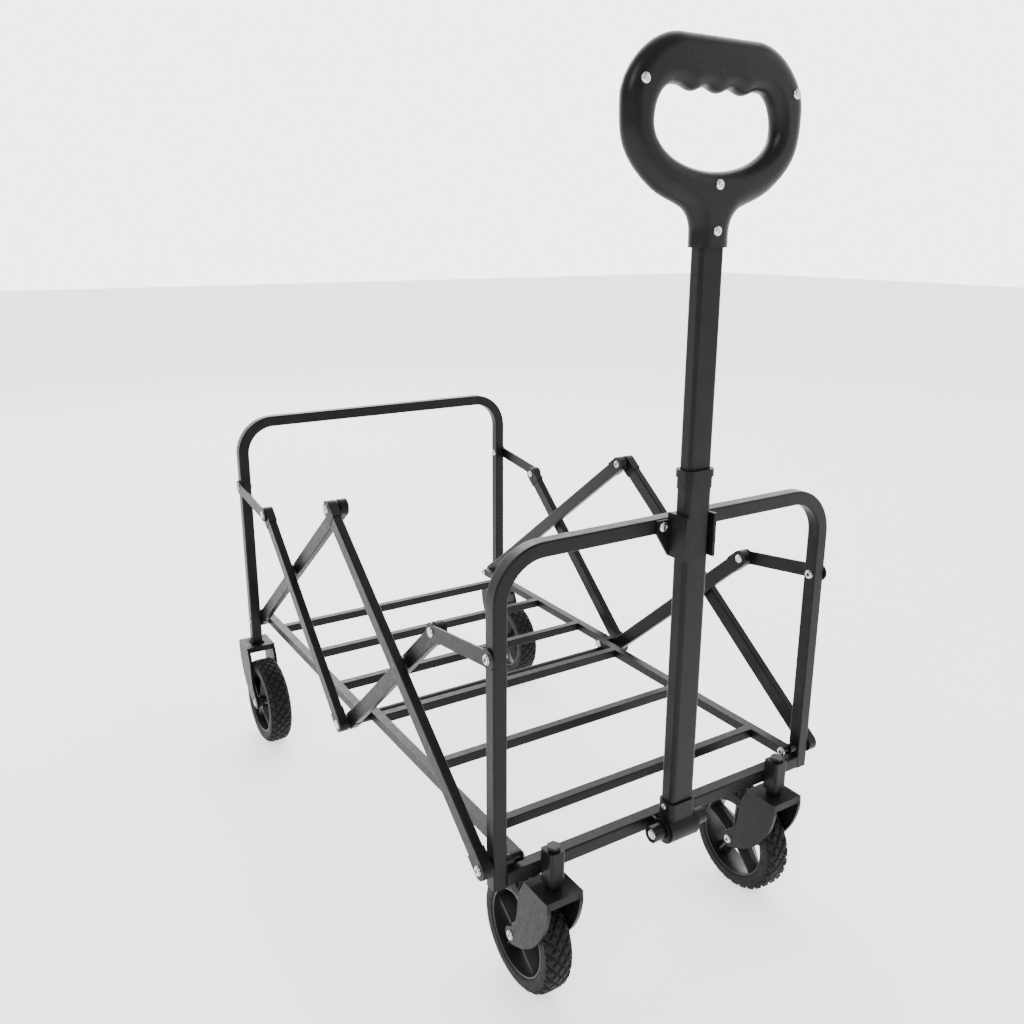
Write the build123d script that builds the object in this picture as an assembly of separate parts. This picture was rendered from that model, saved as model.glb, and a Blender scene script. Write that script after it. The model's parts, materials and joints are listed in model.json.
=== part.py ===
from build123d import *
import os
from math import atan2, cos, degrees, hypot, radians, sin

os.makedirs("parts", exist_ok=True)

# Folding camp wagon frame, millimetres, +Z up, ground at z = 0.
# X is the width, the pull handle and the swivel casters are at -Y, the fixed wheels at +Y.
# Heights below are measured from the floor hinge axis and y from the middle of the two end frames;
# save() moves everything to the ground and centres the length.

# ------------------------------------------------------------------ clearances
FIXED = 0.02          # between pieces of one rigid body, per side
RUN = 0.05            # radial clearance of a turning or sliding fit
GAP = 0.3             # side gap between neighbouring moving pieces

# ------------------------------------------------------------------ end frames
SPREAD = 747.0        # front post axis to rear post axis
REAR_HALF_WIDTH = 234.0
TOP_RISE = 329.0      # top tube axis above the floor hinge axis
TUBE = 16.0           # square tube of the end frames
TUBE_WALL = 1.2
TUBE_CORNER = 2.0
BEND_RADIUS = 50.0    # centre line of the two upper bends
FOOT_DROP = 38.0      # rear post ends, and fork plate tops, below the floor axis
CROSS_TUBE_DROP = 18.4

# ------------------------------------------------------------------ wheels and forks
WHEEL_R = 67.5
WHEEL_WIDTH = 33.7
TYRE_INNER_R = 49.5
RIM_WIDTH = 30.0
RIM_WALL = 3.2
HUB_R = 11.0
SPOKES = 5
SPOKE_HUB_WIDTH = 19.0
SPOKE_RIM_WIDTH = 11.0
SPOKE_THICK = 9.0
AXLE_R = 4.0
TRAIL = 47.5          # axle behind the swivel axis
AXLE_DROP = 85.0      # axle below the fork plate's top
FORK_WIDTH = 45.5
PLATE_DEPTH = 44.0
PLATE_THICK = 5.0
LIP_HEIGHT = 9.0
LEG_THICK = 4.5
LEG_OVERHANG = 1.0    # how far the leg bulges past the plate
AXLE_BOSS_R = 10.0
SOCKET_WALL = 2.0     # raised rim round the rear post's foot
SOCKET_HEIGHT = 3.0
SOCKET_PLUG = 25.0
SWIVEL_X = 162.5      # swivel axis from the middle
SWIVEL_OFFSET = 18.0  # swivel axis in front of the front posts
SLEEVE_WIDTH = 18.0
SLEEVE_DEPTH = 19.0
SLEEVE_TOP = 6.0
SLEEVE_BOTTOM = -32.4
KINGPIN_R = 5.0
HEX_FLATS = 13.0
HEX_HEIGHT = 5.0

# ------------------------------------------------------------------ scissor links
PEAK_RISE = 284.5     # upper pivot of the long braces
SHORT_TOP_Y = 257.0   # upper pivot of the short braces
SHORT_TOP_Z = 212.3
SHORT_FOOT_DROP = 13.2
STRAP_PIVOT_RISE = 228.0
LINK_HEIGHT = 19.5
LINK_WALL = 1.2
CAP_R = 10.6
CAP_LENGTH = 30.0     # pivot axis to the shoulder is CAP_LENGTH - CAP_R
PLUG_LENGTH = 16.0
INNER_TUBE_THICK = 9.6
INNER_CAP_THICK = 10.2
OUTER_TUBE_THICK = 11.0
OUTER_CAP_THICK = 12.0
LAYER_GAP = 4.0       # between the inner and outer links
FOOT_WASHER = 1.7     # between the outer link and the front post
STRAP_THICK = 2.2
STRAP_WIDTH = 17.0
STRAP_END_R = 10.5

# ------------------------------------------------------------------ rivets and pivots
PIN_R = 3.0
HEAD_R = 5.3
HEAD_HEIGHT = 1.9
HEAD_ROUND = 0.75     # share of a head's height that its rounded rim takes
FOOT_SPACER_R = 5.7   # between the front rails and the front posts
FOOT_WASHER_R = 8.48  # between the front posts and the outer links
PEAK_SPACER_R = 7.95
LAYER_SPACER_R = 7.42
MIDDLE_SPACER_R = 9.01
MIDDLE_PIN_R = 4.0
MIDDLE_PLAY = 3.1     # extra radius of the middle pivot's hole in the front short braces
CROSS_ROD_R = 6.9

# ------------------------------------------------------------------ floor panels
RAIL = 12.0           # square tube of the floor
RAIL_WALL = 1.0
FRONT_RAIL_OVERRUN = 8.0
REAR_BARS = (77.0, 194.9, 314.2)
FRONT_BARS = (36.0, 177.7, 316.5)

# ------------------------------------------------------------------ pull handle
HANDLE_OFFSET = 22.5  # handle tube axis in front of the front posts
PIVOT_OFFSET = 24.4   # handle hinge axis in front of the front posts
PIVOT_DROP = 19.5
LOWER_TUBE = (32.5, 19.5)
LOWER_CORNER = 5.0
HANDLE_WALL = 1.2
LOWER_TUBE_BOTTOM = 2.0
LOWER_TUBE_TOP = 385.0
UPPER_TUBE = (29.6, 16.6)
UPPER_CORNER = 4.0
UPPER_TUBE_BOTTOM = 302.5
BOOT_WALL = 2.3
BOOT_TOP = 14.0
BARREL_R = 15.9
BARREL_HALF = 19.6
BOLT_R = 4.0
EAR_THICK = 2.6
EAR_R = 13.0
BOSS_R = 9.3
BOSS_OUT = 37.5
COLLAR_TOP = 389.5
COLLAR_HEIGHT = 8.0
COLLAR_FLANGE = 2.4
COLLAR_SLEEVE = 12.0
COLLAR_WALL = 1.0
GRIP_BOTTOM = 604.0
GRIP_TOP = 786.5
GRIP_HALF_WIDTH = 108.0
GRIP_HALF_THICK = 12.0
GRIP_TOP_FLAT = 46.0
GRIP_WIDEST_DROP = 57.0   # widest point below the grip's top
GRIP_SOCKET = 46.0    # depth of the upper tube in the grip
PLUG_FLANGE = 7.0
PLUG_TONGUE = 18.0
NECK_HALF_WIDTH = 21.5
NECK_HEIGHT = 14.0
HOLE_HALF_WIDTH = 74.5
HOLE_TOP = 743.0
HOLE_BOTTOM = 672.0
HOLE_CORNER = 22.0
HOLE_WIDEST = 0.56    # share of the hole's height at which it is widest
FINGER_PITCH = 31.0
FINGER_DEPTH = 4.0
GRIP_EDGE = 8.5
HOLE_EDGE = 5.0
NECK_BEND_R = 24.0
NECK_BEND = 65.0      # degrees from the neck's side to the shoulder
LOBE_R = 18.0         # finger bump
LOBE_INSET = 2.5
SCREW_R = 4.6
SCREW_HEAD = 1.8
SCREW_ROUND = 0.7     # share of the head's height that its rounded rim takes
SCREW_SHANK = 1.5
SCREW_GRIP = 8.0      # thread into the back half
SCREW_PLACES = ((-92.0, 743.7), (92.0, 743.7), (0.0, 660.0), (0.0, 619.0))
CLIP_RIVET_X = 27.6
CLIP_PLATE = 3.0
CLIP_ARM = 3.4
CLIP_REACH = 4.6      # arms past the handle tube's front face
CLIP_DROP = 32.0      # lower end of the clip below the top tube's axis
CLIP_RISE = 14.0      # upper end of its arms above that axis
CLIP_MARGIN = 3.0     # plate past the rivet heads

# ------------------------------------------------------------------ derived places
LENGTH_SHIFT = SWIVEL_OFFSET / 2
REAR_Y = SPREAD / 2
FRONT_Y = -SPREAD / 2
GROUND_DROP = FOOT_DROP + AXLE_DROP + WHEEL_R

REAR_POST_IN = REAR_HALF_WIDTH - TUBE / 2
REAR_POST_OUT = REAR_HALF_WIDTH + TUBE / 2
INNER_OUT = REAR_POST_IN - GAP
INNER_IN = INNER_OUT - INNER_CAP_THICK
INNER_X = (INNER_OUT + INNER_IN) / 2
OUTER_IN = INNER_OUT + LAYER_GAP
OUTER_OUT = OUTER_IN + OUTER_CAP_THICK
OUTER_X = (OUTER_OUT + OUTER_IN) / 2
FRONT_POST_OUT = OUTER_IN - FOOT_WASHER
FRONT_HALF_WIDTH = FRONT_POST_OUT - TUBE / 2
FRONT_POST_IN = FRONT_POST_OUT - TUBE
REAR_STRAP_IN = max(REAR_POST_OUT, OUTER_OUT) + GAP
REAR_STRAP_OUT = REAR_STRAP_IN + STRAP_THICK
FRONT_STRAP_IN = FRONT_POST_OUT + GAP
FRONT_STRAP_OUT = FRONT_STRAP_IN + STRAP_THICK
REAR_RAIL_X = INNER_IN - GAP - RAIL / 2
FRONT_RAIL_X = REAR_RAIL_X - RAIL - GAP
REAR_RAIL_IN = REAR_RAIL_X - RAIL / 2
FRONT_RAIL_OUT = FRONT_RAIL_X + RAIL / 2
FRONT_RAIL_IN = FRONT_RAIL_X - RAIL / 2

FRONT_FACE = FRONT_Y - TUBE / 2
HANDLE_Y = FRONT_Y - HANDLE_OFFSET
PIVOT_Y = FRONT_Y - PIVOT_OFFSET
SWIVEL_Y = FRONT_Y - SWIVEL_OFFSET
PLATE_TOP = -FOOT_DROP
AXLE_Z = PLATE_TOP - AXLE_DROP
FRONT_FOOT = -CROSS_TUBE_DROP - TUBE / 2
LEG_INNER = FORK_WIDTH / 2 - LEG_THICK
HUB_HALF = LEG_INNER - GAP

PEAK = (0.0, PEAK_RISE)
REAR_FOOT = (REAR_Y, 0.0)
SHORT_TOP = (SHORT_TOP_Y, SHORT_TOP_Z)
SHORT_FOOT = (0.0, -SHORT_FOOT_DROP)
STRAP_POST = (REAR_Y, STRAP_PIVOT_RISE)


def crossing(a0, a1, b0, b1):
    """Point where the line a0-a1 meets the line b0-b1, all as (y, z)."""
    ay, az = a1[0] - a0[0], a1[1] - a0[1]
    by, bz = b1[0] - b0[0], b1[1] - b0[1]
    t = ((b0[0] - a0[0]) * bz - (b0[1] - a0[1]) * by) / (ay * bz - az * by)
    return (a0[0] + ay * t, a0[1] + az * t)


CROSSING = crossing(REAR_FOOT, PEAK, SHORT_TOP, SHORT_FOOT)


# ------------------------------------------------------------------ helpers
def flip(point):
    """The same (y, z) point on the other end of the wagon."""
    return (-point[0], point[1])


def box(x0, x1, y0, y1, z0, z1):
    """Box between two corners."""
    centre = Pos((x0 + x1) / 2, (y0 + y1) / 2, (z0 + z1) / 2)
    return centre * Box(x1 - x0, y1 - y0, z1 - z0)


def rod_x(x0, x1, y, z, r):
    """Round bar along X."""
    return Pos((x0 + x1) / 2, y, z) * (Rot(0, 90, 0) * Cylinder(r, abs(x1 - x0)))


def rod_y(x, y0, y1, z, r):
    """Round bar along Y."""
    return Pos(x, (y0 + y1) / 2, z) * (Rot(90, 0, 0) * Cylinder(r, y1 - y0))


def edges_on(solid, y, above):
    """Edges of a solid that lie in the plane y and above a height."""
    return [e for e in solid.edges() if abs(e.center().Y - y) < 0.01 and e.center().Z > above]


def rod_z(x, y, z0, z1, r):
    """Round bar along Z."""
    return Pos(x, y, (z0 + z1) / 2) * Cylinder(r, z1 - z0)


def head_x(x, direction, y, z, r=HEAD_R, height=HEAD_HEIGHT):
    """Low domed rivet head that stands on the plane x and points along +X or -X."""
    disc = Cylinder(r, height)
    disc = fillet(disc.edges().sort_by(Axis.Z)[-1], height * HEAD_ROUND)
    turn = Rot(0, 90, 0) if direction > 0 else Rot(0, -90, 0)
    return Pos(x + direction * height / 2, y, z) * (turn * disc)


def both_sides(build):
    """Solids that build(side) returns for the left (-1) and the right (+1) side."""
    found = []
    for side in (-1, 1):
        made = build(side)
        found.extend(made if isinstance(made, list) else [made])
    return found


def save(name, solids):
    """Write one node, moved to the ground and to the middle of the length."""
    solids = solids if isinstance(solids, list) else [solids]
    place = Pos(0, LENGTH_SHIFT, GROUND_DROP)
    pieces = []
    for solid in solids:
        pieces.extend((place * solid).solids())
    node = Compound(children=pieces) if len(pieces) > 1 else pieces[0]
    export_step(node, os.path.join("parts", name + ".step"))


def square_ring(size, wall, corner):
    """Section of a square tube."""
    outer = RectangleRounded(size, size, corner)
    inner = RectangleRounded(size - 2 * wall, size - 2 * wall, max(corner - wall, 0.3))
    return outer - inner


# ------------------------------------------------------------------ end frames
def bent_tube(half_width, foot, y):
    """Inverted U of square tube in the plane y."""
    corners = [(-half_width, foot), (-half_width, TOP_RISE), (half_width, TOP_RISE), (half_width, foot)]
    path = FilletPolyline(*[(x, y, z) for x, z in corners], radius=BEND_RADIUS)
    start = Plane(origin=path @ 0, x_dir=(1, 0, 0), z_dir=path % 0)
    return sweep(start * square_ring(TUBE, TUBE_WALL, TUBE_CORNER), path=path)


def pin_hole(x0, x1, point, r=PIN_R, play=FIXED):
    """Cutter for a pin along X through (y, z)."""
    return rod_x(x0, x1, point[0], point[1], r + play)


def make_rear_frame():
    """Rear U tube, with its foot and strap pivots riveted through the posts."""
    tube = bent_tube(REAR_HALF_WIDTH, -FOOT_DROP, REAR_Y)
    for side in (-1, 1):
        for point in (REAR_FOOT, STRAP_POST):
            tube -= pin_hole(side * (REAR_POST_IN - 1), side * (REAR_POST_OUT + 1), point)
    save("rear_frame_tube", tube)

    def foot_pin(side):
        inner = side * (REAR_RAIL_IN - GAP)
        pin = rod_x(inner, side * REAR_POST_OUT, *REAR_FOOT, PIN_R)
        pin += head_x(inner, -side, *REAR_FOOT)
        pin += head_x(side * REAR_POST_OUT, side, *REAR_FOOT)
        return pin

    def strap_pin(side):
        outer = side * (REAR_STRAP_OUT + GAP)
        pin = rod_x(side * REAR_POST_IN, outer, *STRAP_POST, PIN_R)
        pin += head_x(side * REAR_POST_IN, -side, *STRAP_POST)
        pin += head_x(outer, side, *STRAP_POST)
        return pin

    save("rear_foot_pins", both_sides(foot_pin))
    save("rear_strap_pins", both_sides(strap_pin))


def make_front_frame():
    """Front U tube, its lower cross tube, and its foot and strap pivots."""
    tube = bent_tube(FRONT_HALF_WIDTH, FRONT_FOOT, FRONT_Y)
    front_foot = flip(REAR_FOOT)
    strap_post = flip(STRAP_POST)
    for side in (-1, 1):
        for point in (front_foot, strap_post):
            tube -= pin_hole(side * (FRONT_POST_IN - 1), side * (FRONT_POST_OUT + 1), point)
    for side in (-1, 1):
        x = side * CLIP_RIVET_X
        tube -= Pos(x, FRONT_FACE, TOP_RISE) * (Rot(90, 0, 0) * Cylinder(PIN_R + FIXED, 4 * TUBE_WALL))
    save("front_frame_tube", tube)

    section = Plane.YZ.offset(-FRONT_POST_IN) * (
        Pos(FRONT_Y, -CROSS_TUBE_DROP) * square_ring(TUBE, TUBE_WALL, TUBE_CORNER)
    )
    save("front_cross_tube", extrude(section, 2 * FRONT_POST_IN))

    def foot_pin(side):
        inner = side * (FRONT_RAIL_IN - GAP)
        outer = side * (OUTER_OUT + GAP)
        pin = rod_x(inner, outer, *front_foot, PIN_R)
        pin += head_x(inner, -side, *front_foot)
        pin += head_x(outer, side, *front_foot)
        pin += rod_x(side * (FRONT_RAIL_OUT + GAP), side * FRONT_POST_IN, *front_foot, FOOT_SPACER_R)
        pin += rod_x(side * FRONT_POST_OUT, side * (OUTER_IN - GAP), *front_foot, FOOT_WASHER_R)
        return pin

    def strap_pin(side):
        outer = side * (FRONT_STRAP_OUT + GAP)
        pin = rod_x(side * FRONT_POST_IN, outer, *strap_post, PIN_R)
        pin += head_x(side * FRONT_POST_IN, -side, *strap_post)
        pin += head_x(outer, side, *strap_post)
        return pin

    save("front_foot_pins", both_sides(foot_pin))
    save("front_strap_pins", both_sides(strap_pin))


def make_caster_mounts():
    """Sleeves welded on the front cross tube, and the hex-headed kingpins in them."""
    sleeves = []
    kingpins = []
    for side in (-1, 1):
        x = side * SWIVEL_X
        block = box(x - SLEEVE_WIDTH / 2, x + SLEEVE_WIDTH / 2, FRONT_FACE - SLEEVE_DEPTH, FRONT_FACE,
                    SLEEVE_BOTTOM, SLEEVE_TOP)
        upright = block.edges().filter_by(Axis.Z).group_by(Axis.Y)[0]
        block = fillet(upright, 3.0)
        block += rod_z(x, SWIVEL_Y, PLATE_TOP + GAP, SLEEVE_BOTTOM, SLEEVE_WIDTH / 2)
        block -= rod_z(x, SWIVEL_Y, PLATE_TOP - 1, SLEEVE_TOP + 1, KINGPIN_R + FIXED)
        sleeves.append(block)
        nut_top = PLATE_TOP - PLATE_THICK - GAP
        pin = rod_z(x, SWIVEL_Y, nut_top - HEX_HEIGHT, SLEEVE_TOP, KINGPIN_R)
        hexagon = RegularPolygon(HEX_FLATS / 2, 6, major_radius=False)
        pin += Pos(x, SWIVEL_Y, SLEEVE_TOP) * extrude(hexagon, HEX_HEIGHT)
        pin += Pos(x, SWIVEL_Y, nut_top - HEX_HEIGHT) * extrude(hexagon, HEX_HEIGHT)
        kingpins.append(pin)
    save("caster_sleeves", sleeves)
    save("caster_kingpins", kingpins)


# ------------------------------------------------------------------ forks and wheels
def leg_face():
    """Side outline of a fork leg in the YZ plane, plate top centre at the origin, axle toward +Y.

    The front edge bulges and sweeps back to the axle boss; the rear edge is hollow, so that the wheel
    shows behind it. The numbers shape the two curves.
    """
    front = -PLATE_DEPTH / 2
    back = PLATE_DEPTH / 2
    boss = (TRAIL, -AXLE_DROP)
    low = (boss[0] - 0.45 * AXLE_BOSS_R, boss[1] - 0.893 * AXLE_BOSS_R)
    high = (boss[0] + 0.25 * AXLE_BOSS_R, boss[1] + 0.968 * AXLE_BOSS_R)
    edge = [
        Line((front, 0), (front - LEG_OVERHANG, -12)),
        Spline((front - LEG_OVERHANG, -12), (front + 7, -0.49 * AXLE_DROP),
               (0.15 * TRAIL, -0.86 * AXLE_DROP), (0.48 * TRAIL, -AXLE_DROP), low),
        ThreePointArc(low, (boss[0] + AXLE_BOSS_R, boss[1]), high),
        Spline(high, (back + 15, -0.69 * AXLE_DROP), (back + 11.4, -0.44 * AXLE_DROP), (back + 9, -20)),
        Line((back + 9, -20), (back, -2)),
        Line((back, -2), (back, 0)),
        Line((back, 0), (front, 0)),
    ]
    return make_face(edge)


def fork(bore):
    """Moulded fork with its plate's top centre at the origin and its axle toward +Y."""
    half = FORK_WIDTH / 2
    depth = PLATE_DEPTH / 2
    body = box(-half, half, -depth, depth, -PLATE_THICK, 0)
    body += box(-half, half, -depth, -depth + LEG_THICK, -LIP_HEIGHT, 0)
    body += box(-half, half, depth - LEG_THICK, depth, -LIP_HEIGHT, 0)
    outline = Plane.YZ * leg_face()
    for start in (-half, LEG_INNER):
        body += Pos(start, 0, 0) * extrude(outline, LEG_THICK)
    body -= rod_x(-half - 1, half + 1, TRAIL, -AXLE_DROP, AXLE_R + FIXED)
    if bore:
        body -= rod_z(0, 0, -PLATE_THICK - 1, 1, bore)
    return body


def make_forks():
    """Fixed forks plugged into the rear posts, and the two swivelling caster forks."""
    socket = TUBE + 2 * SOCKET_WALL
    plug = TUBE - 2 * TUBE_WALL - 2 * FIXED

    def rear_fork(side):
        body = fork(0)
        body += box(-socket / 2, socket / 2, -socket / 2, socket / 2, 0, SOCKET_HEIGHT)
        body -= box(-TUBE / 2, TUBE / 2, -TUBE / 2, TUBE / 2, 0, SOCKET_HEIGHT + 1)
        body += Pos(0, 0, -1) * extrude(RectangleRounded(plug, plug, TUBE_CORNER - 0.8), SOCKET_PLUG)
        return Pos(side * REAR_HALF_WIDTH, REAR_Y, PLATE_TOP) * (Rot(0, 0, 180) * body)

    save("rear_forks", both_sides(rear_fork))
    for side, word in ((-1, "left"), (1, "right")):
        save("caster_fork_" + word, Pos(side * SWIVEL_X, SWIVEL_Y, PLATE_TOP) * fork(KINGPIN_R + RUN))


def axle(x, y):
    """Riveted wheel axle across a fork."""
    half = FORK_WIDTH / 2
    pin = rod_x(x - half, x + half, y, AXLE_Z, AXLE_R)
    for direction in (-1, 1):
        pin += head_x(x + direction * half, direction, y, AXLE_Z)
    return pin


def tyre():
    """Soft tyre about the X axis."""
    half = WHEEL_WIDTH / 2
    profile = Polyline(
        (-half + 1.2, TYRE_INNER_R), (-half, TYRE_INNER_R + 1.5), (-half, WHEEL_R - 5.5),
        (-half + 2.6, WHEEL_R - 2.0), (-half + 6.5, WHEEL_R), (half - 6.5, WHEEL_R),
        (half - 2.6, WHEEL_R - 2.0), (half, WHEEL_R - 5.5), (half, TYRE_INNER_R + 1.5),
        (half - 1.2, TYRE_INNER_R), close=True,
    )
    return revolve(make_face(profile), Axis.X)


def rim():
    """Moulded rim about the X axis: barrel, hub and tapered spokes."""
    outer = TYRE_INNER_R - FIXED
    barrel = rod_x(-RIM_WIDTH / 2, RIM_WIDTH / 2, 0, 0, outer)
    barrel -= rod_x(-RIM_WIDTH, RIM_WIDTH, 0, 0, outer - RIM_WALL)
    body = barrel + rod_x(-HUB_HALF, HUB_HALF, 0, 0, HUB_R)
    reach = outer - RIM_WALL / 2
    blade = make_face(Polyline(
        (0, -SPOKE_HUB_WIDTH / 2), (reach, -SPOKE_RIM_WIDTH / 2), (reach, SPOKE_RIM_WIDTH / 2),
        (0, SPOKE_HUB_WIDTH / 2), close=True,
    ))
    spoke = Pos(-SPOKE_THICK / 2, 0, 0) * extrude(Plane.YZ * blade, SPOKE_THICK)
    for number in range(SPOKES):
        body += Rot(90 + number * 360 / SPOKES, 0, 0) * spoke
    body -= rod_x(-HUB_HALF - 1, HUB_HALF + 1, 0, 0, AXLE_R + RUN)
    return body


def make_wheels():
    """Four equal wheels and their riveted axles."""
    for side, word in ((-1, "left"), (1, "right")):
        places = (
            ("front", side * SWIVEL_X, SWIVEL_Y + TRAIL),
            ("rear", side * REAR_HALF_WIDTH, REAR_Y - TRAIL),
        )
        for end, x, y in places:
            save(end + "_tyre_" + word, Pos(x, y, AXLE_Z) * tyre())
            save(end + "_rim_" + word, Pos(x, y, AXLE_Z) * rim())
        save("caster_axle_" + word, axle(side * SWIVEL_X, SWIVEL_Y + TRAIL))
    save("rear_axle_pins", [axle(side * REAR_HALF_WIDTH, REAR_Y - TRAIL) for side in (-1, 1)])


# ------------------------------------------------------------------ scissor links
def on_link(x, start, end):
    """Frame with its origin at start, local x toward end and local y across, in the plane x."""
    angle = degrees(atan2(end[1] - start[1], end[0] - start[0]))
    return Pos(x, start[0], start[1]) * Rot(angle, 0, 0)


def link_tube(x, start, end, thick, holes):
    """Flat tube of a link between its two caps, with running or fixed holes on its centre line."""
    length = hypot(end[0] - start[0], end[1] - start[1])
    shoulder = CAP_LENGTH - CAP_R
    run = length - 2 * shoulder
    outer = RectangleRounded(thick, LINK_HEIGHT, 1.6)
    inner = RectangleRounded(thick - 2 * LINK_WALL, LINK_HEIGHT - 2 * LINK_WALL, 0.6)
    tube = extrude(Plane(origin=(0, shoulder, 0), x_dir=(1, 0, 0), z_dir=(0, 1, 0)) * (outer - inner), run)
    tube = on_link(x, start, end) * tube
    for point, r in holes:
        tube -= rod_x(x - thick, x + thick, point[0], point[1], r)
    return tube


def link_cap(x, start, end, thick, tube_thick, hole):
    """Moulded end of a link: round nose about its pivot, shoulder, and a plug inside the tube."""
    shoulder = CAP_LENGTH - CAP_R
    nose = rod_x(-thick / 2, thick / 2, 0, 0, CAP_R)
    nose += box(-thick / 2, thick / 2, 0, shoulder, -CAP_R, CAP_R)
    plug = RectangleRounded(tube_thick - 2 * (LINK_WALL + FIXED), LINK_HEIGHT - 2 * (LINK_WALL + FIXED), 1.2)
    seat = Plane(origin=(0, shoulder - 1, 0), x_dir=(1, 0, 0), z_dir=(0, 1, 0))
    nose += extrude(seat * plug, PLUG_LENGTH + 1)
    if hole:
        nose -= rod_x(-thick, thick, 0, 0, hole)
    return on_link(x, start, end) * nose


def brace(name, layer, start, end, holes, tube_holes):
    """A pair of links, left and right, as a node of tubes and a node of caps."""
    x, tube_thick, cap_thick = layer
    tubes = both_sides(lambda side: link_tube(side * x, start, end, tube_thick, tube_holes))

    def caps(side):
        return [
            link_cap(side * x, start, end, cap_thick, tube_thick, holes[0]),
            link_cap(side * x, end, start, cap_thick, tube_thick, holes[1]),
        ]

    save(name + "_tubes", tubes)
    save(name + "_caps", both_sides(caps))


INNER_LAYER = (INNER_X, INNER_TUBE_THICK, INNER_CAP_THICK)
OUTER_LAYER = (OUTER_X, OUTER_TUBE_THICK, OUTER_CAP_THICK)


def make_scissors():
    """Long and short braces of both sides, their crossing and peak pivots and the middle rod."""
    front_foot = flip(REAR_FOOT)
    front_top = flip(SHORT_TOP)
    front_crossing = flip(CROSSING)
    turning = PIN_R + RUN
    held = PIN_R + FIXED
    brace("long_brace_rear", INNER_LAYER, REAR_FOOT, PEAK, (turning, turning), [(CROSSING, turning)])
    brace("long_brace_front", OUTER_LAYER, PEAK, front_foot, (held, turning), [(front_crossing, turning)])
    brace("short_brace_rear", OUTER_LAYER, SHORT_TOP, SHORT_FOOT, (0, MIDDLE_PIN_R + FIXED),
          [(CROSSING, held)])
    brace("short_brace_front", INNER_LAYER, SHORT_FOOT, front_top, (MIDDLE_PIN_R + MIDDLE_PLAY, 0),
          [(front_crossing, held)])

    inner_face = INNER_X - INNER_TUBE_THICK / 2
    outer_face = OUTER_X + OUTER_TUBE_THICK / 2
    inner_side = INNER_X + INNER_TUBE_THICK / 2
    outer_side = OUTER_X - OUTER_TUBE_THICK / 2

    def peak_pin(side):
        pin = rod_x(side * (INNER_IN - GAP), side * OUTER_OUT, *PEAK, PIN_R)
        pin += head_x(side * (INNER_IN - GAP), -side, *PEAK)
        pin += head_x(side * OUTER_OUT, side, *PEAK)
        return pin + rod_x(side * (INNER_OUT + GAP), side * OUTER_IN, *PEAK, PEAK_SPACER_R)

    def rear_crossing_pin(side):
        pin = rod_x(side * inner_face, side * outer_face, *CROSSING, PIN_R)
        pin += rod_x(side * (inner_side + GAP), side * outer_side, *CROSSING, LAYER_SPACER_R)
        return pin

    def front_crossing_pin(side):
        pin = rod_x(side * inner_face, side * outer_face, *front_crossing, PIN_R)
        pin += rod_x(side * inner_side, side * (outer_side - GAP), *front_crossing, LAYER_SPACER_R)
        return pin

    def middle_rivet(side):
        return head_x(side * OUTER_OUT, side, *SHORT_FOOT, HEAD_R + 1.0)

    save("peak_pins", both_sides(peak_pin))
    save("rear_crossing_pins", both_sides(rear_crossing_pin))
    save("front_crossing_pins", both_sides(front_crossing_pin))
    rod = rod_x(-INNER_IN + GAP, INNER_IN - GAP, *SHORT_FOOT, CROSS_ROD_R)
    rod += rod_x(-OUTER_OUT, OUTER_OUT, *SHORT_FOOT, MIDDLE_PIN_R)
    for side in (-1, 1):
        rod += rod_x(side * (INNER_OUT + GAP), side * OUTER_IN, *SHORT_FOOT, MIDDLE_SPACER_R)
    save("cross_rod", rod)
    save("cross_rod_rivets", both_sides(middle_rivet))


def strap(x0, x1, post, top):
    """Flat strap with round ends between a post pivot and a short brace's upper pivot."""
    length = hypot(top[0] - post[0], top[1] - post[1])
    thick = abs(x1 - x0)
    bar = box(-thick / 2, thick / 2, 0, length, -STRAP_WIDTH / 2, STRAP_WIDTH / 2)
    bar += rod_x(-thick / 2, thick / 2, 0, 0, STRAP_END_R)
    bar += rod_x(-thick / 2, thick / 2, length, 0, STRAP_END_R)
    bar -= rod_x(-thick, thick, 0, 0, PIN_R + RUN)
    bar -= rod_x(-thick, thick, length, 0, PIN_R + FIXED)
    return on_link((x0 + x1) / 2, post, top) * bar


def make_straps():
    """Flat straps between the posts and the short braces, and their rivets."""
    front_post = flip(STRAP_POST)
    front_top = flip(SHORT_TOP)

    def rear_rivet(side):
        pin = rod_x(side * REAR_STRAP_IN, side * REAR_STRAP_OUT, *SHORT_TOP, PIN_R)
        return pin + head_x(side * REAR_STRAP_OUT, side, *SHORT_TOP)

    def front_rivet(side):
        pin = rod_x(side * (INNER_OUT + GAP), side * FRONT_STRAP_OUT, *front_top, PIN_R)
        pin += rod_x(side * (INNER_OUT + GAP), side * FRONT_STRAP_IN, *front_top, LAYER_SPACER_R)
        return pin + head_x(side * FRONT_STRAP_OUT, side, *front_top)

    def rear_bar(side):
        return strap(side * REAR_STRAP_IN, side * REAR_STRAP_OUT, STRAP_POST, SHORT_TOP)

    def front_bar(side):
        return strap(side * FRONT_STRAP_IN, side * FRONT_STRAP_OUT, front_post, front_top)

    save("tie_straps_rear", both_sides(rear_bar))
    save("tie_strap_rear_rivets", both_sides(rear_rivet))
    save("tie_straps_front", both_sides(front_bar))
    save("tie_strap_front_rivets", both_sides(front_rivet))
    save("short_brace_rear_rivets", both_sides(lambda side: head_x(side * OUTER_IN, -side, *SHORT_TOP)))
    save("short_brace_front_rivets", both_sides(lambda side: head_x(side * INNER_IN, -side, *front_top)))


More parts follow.
